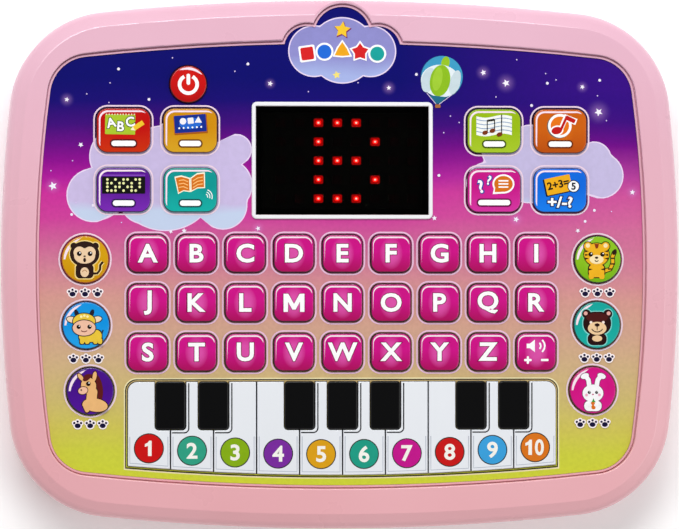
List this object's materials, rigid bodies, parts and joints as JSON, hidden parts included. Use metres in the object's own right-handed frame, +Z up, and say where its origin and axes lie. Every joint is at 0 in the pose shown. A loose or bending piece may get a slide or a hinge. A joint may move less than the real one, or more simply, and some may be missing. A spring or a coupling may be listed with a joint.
{
  "type": "kids toy tablet",
  "caption": "Flat battery-powered learning tablet with a rounded frame, letter keys, picture keys, a dot display and a small piano.",
  "frame": {"origin": "under the middle of the case, at the level the rubber feet stand on", "axes": "+X to the right of the face, +Y towards its top edge, +Z up out of the face"},
  "size_m": [0.24, 0.1866, 0.025],
  "materials": {
    "shell_plastic": "satin moulded ABS, pale pink",
    "printed_face": "printed film under a clear gloss coat, night sky fading to yellow-green",
    "smoked_window": "smoked acrylic, polished",
    "frame_plastic": "white gloss",
    "dome_rubber": "matt silicone rubber",
    "board": "solder resist over laminate",
    "lamps": "red lamp lenses",
    "lead_sleeve": "soft lead sleeve",
    "speaker_body": "black frame with paper cone",
    "cell_jacket": "printed cell jacket",
    "contact_steel": "nickel-plated spring steel",
    "screw_steel": "zinc-plated steel",
    "foot_rubber": "matt grey rubber",
    "letter_key": "magenta with a gloss coat",
    "function_key": "each key has its own colour under a gloss coat",
    "picture_key": "each key has its own colour under a gloss coat",
    "power_key": "red with a gloss coat",
    "piano_white": "white gloss"
  },
  "bodies": {
    "case": {"front_shell": "shell_plastic", "rear_shell": "shell_plastic", "graphic_overlay": "printed_face", "display_window": "smoked_window", "display_frame": "frame_plastic", "switch_mat": "dome_rubber", "circuit_board": "board", "led_matrix": "lamps", "wiring": "lead_sleeve", "speaker": "speaker_body", "batteries": "cell_jacket", "battery_springs": "contact_steel", "battery_plates": "contact_steel", "case_screws": "screw_steel", "rubber_feet": "foot_rubber"},
    "battery_door": {"battery_door": "shell_plastic"},
    "door_screw": {"door_screw": "screw_steel"},
    "power_button": {"power_button": "power_key"},
    "piano_keys": {"piano_keys": "piano_white"},
    "key_monkey": {"key_monkey": "picture_key"},
    "key_calf": {"key_calf": "picture_key"},
    "key_horse": {"key_horse": "picture_key"},
    "key_tiger": {"key_tiger": "picture_key"},
    "key_bear": {"key_bear": "picture_key"},
    "key_rabbit": {"key_rabbit": "picture_key"},
    "key_abc": {"key_abc": "function_key"},
    "key_blocks": {"key_blocks": "function_key"},
    "key_spell": {"key_spell": "function_key"},
    "key_book": {"key_book": "function_key"},
    "key_song": {"key_song": "function_key"},
    "key_music": {"key_music": "function_key"},
    "key_quiz": {"key_quiz": "function_key"},
    "key_sums": {"key_sums": "function_key"},
    "key_volume": {"key_volume": "letter_key"},
    "key_a": {"key_a": "letter_key"},
    "key_b": {"key_b": "letter_key"},
    "key_c": {"key_c": "letter_key"},
    "key_d": {"key_d": "letter_key"},
    "key_e": {"key_e": "letter_key"},
    "key_f": {"key_f": "letter_key"},
    "key_g": {"key_g": "letter_key"},
    "key_h": {"key_h": "letter_key"},
    "key_i": {"key_i": "letter_key"},
    "key_j": {"key_j": "letter_key"},
    "key_k": {"key_k": "letter_key"},
    "key_l": {"key_l": "letter_key"},
    "key_m": {"key_m": "letter_key"},
    "key_n": {"key_n": "letter_key"},
    "key_o": {"key_o": "letter_key"},
    "key_p": {"key_p": "letter_key"},
    "key_q": {"key_q": "letter_key"},
    "key_r": {"key_r": "letter_key"},
    "key_s": {"key_s": "letter_key"},
    "key_t": {"key_t": "letter_key"},
    "key_u": {"key_u": "letter_key"},
    "key_v": {"key_v": "letter_key"},
    "key_w": {"key_w": "letter_key"},
    "key_x": {"key_x": "letter_key"},
    "key_y": {"key_y": "letter_key"},
    "key_z": {"key_z": "letter_key"}
  },
  "joints": [
    {"name": "battery_door_hinge", "type": "hinge", "parent": "case", "child": "battery_door", "pos_m": [0, -0.0313, 0.0026], "axis": [-1, 0, 0], "range_deg": [0, 85]},
    {"name": "door_screw_slide", "type": "slide", "parent": "battery_door", "child": "door_screw", "axis": [0, 0, -1], "range_m": [0, 0.004]},
    {"name": "power_press", "type": "slide", "parent": "case", "child": "power_button", "axis": [0, 0, -1], "range_m": [0, 0.0008], "stiffness_N_per_m": 800, "springref_m": -0.0005},
    {"name": "piano_press", "type": "slide", "parent": "case", "child": "piano_keys", "axis": [0, 0, -1], "range_m": [0, 0.0008], "stiffness_N_per_m": 800, "springref_m": -0.0005},
    {"name": "monkey_press", "type": "slide", "parent": "case", "child": "key_monkey", "axis": [0, 0, -1], "range_m": [0, 0.0008], "stiffness_N_per_m": 800, "springref_m": -0.0005},
    {"name": "calf_press", "type": "slide", "parent": "case", "child": "key_calf", "axis": [0, 0, -1], "range_m": [0, 0.0008], "stiffness_N_per_m": 800, "springref_m": -0.0005},
    {"name": "horse_press", "type": "slide", "parent": "case", "child": "key_horse", "axis": [0, 0, -1], "range_m": [0, 0.0008], "stiffness_N_per_m": 800, "springref_m": -0.0005},
    {"name": "tiger_press", "type": "slide", "parent": "case", "child": "key_tiger", "axis": [0, 0, -1], "range_m": [0, 0.0008], "stiffness_N_per_m": 800, "springref_m": -0.0005},
    {"name": "bear_press", "type": "slide", "parent": "case", "child": "key_bear", "axis": [0, 0, -1], "range_m": [0, 0.0008], "stiffness_N_per_m": 800, "springref_m": -0.0005},
    {"name": "rabbit_press", "type": "slide", "parent": "case", "child": "key_rabbit", "axis": [0, 0, -1], "range_m": [0, 0.0008], "stiffness_N_per_m": 800, "springref_m": -0.0005},
    {"name": "abc_press", "type": "slide", "parent": "case", "child": "key_abc", "axis": [0, 0, -1], "range_m": [0, 0.0008], "stiffness_N_per_m": 800, "springref_m": -0.0005},
    {"name": "blocks_press", "type": "slide", "parent": "case", "child": "key_blocks", "axis": [0, 0, -1], "range_m": [0, 0.0008], "stiffness_N_per_m": 800, "springref_m": -0.0005},
    {"name": "spell_press", "type": "slide", "parent": "case", "child": "key_spell", "axis": [0, 0, -1], "range_m": [0, 0.0008], "stiffness_N_per_m": 800, "springref_m": -0.0005},
    {"name": "book_press", "type": "slide", "parent": "case", "child": "key_book", "axis": [0, 0, -1], "range_m": [0, 0.0008], "stiffness_N_per_m": 800, "springref_m": -0.0005},
    {"name": "song_press", "type": "slide", "parent": "case", "child": "key_song", "axis": [0, 0, -1], "range_m": [0, 0.0008], "stiffness_N_per_m": 800, "springref_m": -0.0005},
    {"name": "music_press", "type": "slide", "parent": "case", "child": "key_music", "axis": [0, 0, -1], "range_m": [0, 0.0008], "stiffness_N_per_m": 800, "springref_m": -0.0005},
    {"name": "quiz_press", "type": "slide", "parent": "case", "child": "key_quiz", "axis": [0, 0, -1], "range_m": [0, 0.0008], "stiffness_N_per_m": 800, "springref_m": -0.0005},
    {"name": "sums_press", "type": "slide", "parent": "case", "child": "key_sums", "axis": [0, 0, -1], "range_m": [0, 0.0008], "stiffness_N_per_m": 800, "springref_m": -0.0005},
    {"name": "volume_press", "type": "slide", "parent": "case", "child": "key_volume", "axis": [0, 0, -1], "range_m": [0, 0.0008], "stiffness_N_per_m": 800, "springref_m": -0.0005},
    {"name": "letter_a_press", "type": "slide", "parent": "case", "child": "key_a", "axis": [0, 0, -1], "range_m": [0, 0.0008], "stiffness_N_per_m": 800, "springref_m": -0.0005},
    {"name": "letter_b_press", "type": "slide", "parent": "case", "child": "key_b", "axis": [0, 0, -1], "range_m": [0, 0.0008], "stiffness_N_per_m": 800, "springref_m": -0.0005},
    {"name": "letter_c_press", "type": "slide", "parent": "case", "child": "key_c", "axis": [0, 0, -1], "range_m": [0, 0.0008], "stiffness_N_per_m": 800, "springref_m": -0.0005},
    {"name": "letter_d_press", "type": "slide", "parent": "case", "child": "key_d", "axis": [0, 0, -1], "range_m": [0, 0.0008], "stiffness_N_per_m": 800, "springref_m": -0.0005},
    {"name": "letter_e_press", "type": "slide", "parent": "case", "child": "key_e", "axis": [0, 0, -1], "range_m": [0, 0.0008], "stiffness_N_per_m": 800, "springref_m": -0.0005},
    {"name": "letter_f_press", "type": "slide", "parent": "case", "child": "key_f", "axis": [0, 0, -1], "range_m": [0, 0.0008], "stiffness_N_per_m": 800, "springref_m": -0.0005},
    {"name": "letter_g_press", "type": "slide", "parent": "case", "child": "key_g", "axis": [0, 0, -1], "range_m": [0, 0.0008], "stiffness_N_per_m": 800, "springref_m": -0.0005},
    {"name": "letter_h_press", "type": "slide", "parent": "case", "child": "key_h", "axis": [0, 0, -1], "range_m": [0, 0.0008], "stiffness_N_per_m": 800, "springref_m": -0.0005},
    {"name": "letter_i_press", "type": "slide", "parent": "case", "child": "key_i", "axis": [0, 0, -1], "range_m": [0, 0.0008], "stiffness_N_per_m": 800, "springref_m": -0.0005},
    {"name": "letter_j_press", "type": "slide", "parent": "case", "child": "key_j", "axis": [0, 0, -1], "range_m": [0, 0.0008], "stiffness_N_per_m": 800, "springref_m": -0.0005},
    {"name": "letter_k_press", "type": "slide", "parent": "case", "child": "key_k", "axis": [0, 0, -1], "range_m": [0, 0.0008], "stiffness_N_per_m": 800, "springref_m": -0.0005},
    {"name": "letter_l_press", "type": "slide", "parent": "case", "child": "key_l", "axis": [0, 0, -1], "range_m": [0, 0.0008], "stiffness_N_per_m": 800, "springref_m": -0.0005},
    {"name": "letter_m_press", "type": "slide", "parent": "case", "child": "key_m", "axis": [0, 0, -1], "range_m": [0, 0.0008], "stiffness_N_per_m": 800, "springref_m": -0.0005},
    {"name": "letter_n_press", "type": "slide", "parent": "case", "child": "key_n", "axis": [0, 0, -1], "range_m": [0, 0.0008], "stiffness_N_per_m": 800, "springref_m": -0.0005},
    {"name": "letter_o_press", "type": "slide", "parent": "case", "child": "key_o", "axis": [0, 0, -1], "range_m": [0, 0.0008], "stiffness_N_per_m": 800, "springref_m": -0.0005},
    {"name": "letter_p_press", "type": "slide", "parent": "case", "child": "key_p", "axis": [0, 0, -1], "range_m": [0, 0.0008], "stiffness_N_per_m": 800, "springref_m": -0.0005},
    {"name": "letter_q_press", "type": "slide", "parent": "case", "child": "key_q", "axis": [0, 0, -1], "range_m": [0, 0.0008], "stiffness_N_per_m": 800, "springref_m": -0.0005},
    {"name": "letter_r_press", "type": "slide", "parent": "case", "child": "key_r", "axis": [0, 0, -1], "range_m": [0, 0.0008], "stiffness_N_per_m": 800, "springref_m": -0.0005},
    {"name": "letter_s_press", "type": "slide", "parent": "case", "child": "key_s", "axis": [0, 0, -1], "range_m": [0, 0.0008], "stiffness_N_per_m": 800, "springref_m": -0.0005},
    {"name": "letter_t_press", "type": "slide", "parent": "case", "child": "key_t", "axis": [0, 0, -1], "range_m": [0, 0.0008], "stiffness_N_per_m": 800, "springref_m": -0.0005},
    {"name": "letter_u_press", "type": "slide", "parent": "case", "child": "key_u", "axis": [0, 0, -1], "range_m": [0, 0.0008], "stiffness_N_per_m": 800, "springref_m": -0.0005},
    {"name": "letter_v_press", "type": "slide", "parent": "case", "child": "key_v", "axis": [0, 0, -1], "range_m": [0, 0.0008], "stiffness_N_per_m": 800, "springref_m": -0.0005},
    {"name": "letter_w_press", "type": "slide", "parent": "case", "child": "key_w", "axis": [0, 0, -1], "range_m": [0, 0.0008], "stiffness_N_per_m": 800, "springref_m": -0.0005},
    {"name": "letter_x_press", "type": "slide", "parent": "case", "child": "key_x", "axis": [0, 0, -1], "range_m": [0, 0.0008], "stiffness_N_per_m": 800, "springref_m": -0.0005},
    {"name": "letter_y_press", "type": "slide", "parent": "case", "child": "key_y", "axis": [0, 0, -1], "range_m": [0, 0.0008], "stiffness_N_per_m": 800, "springref_m": -0.0005},
    {"name": "letter_z_press", "type": "slide", "parent": "case", "child": "key_z", "axis": [0, 0, -1], "range_m": [0, 0.0008], "stiffness_N_per_m": 800, "springref_m": -0.0005}
  ]
}
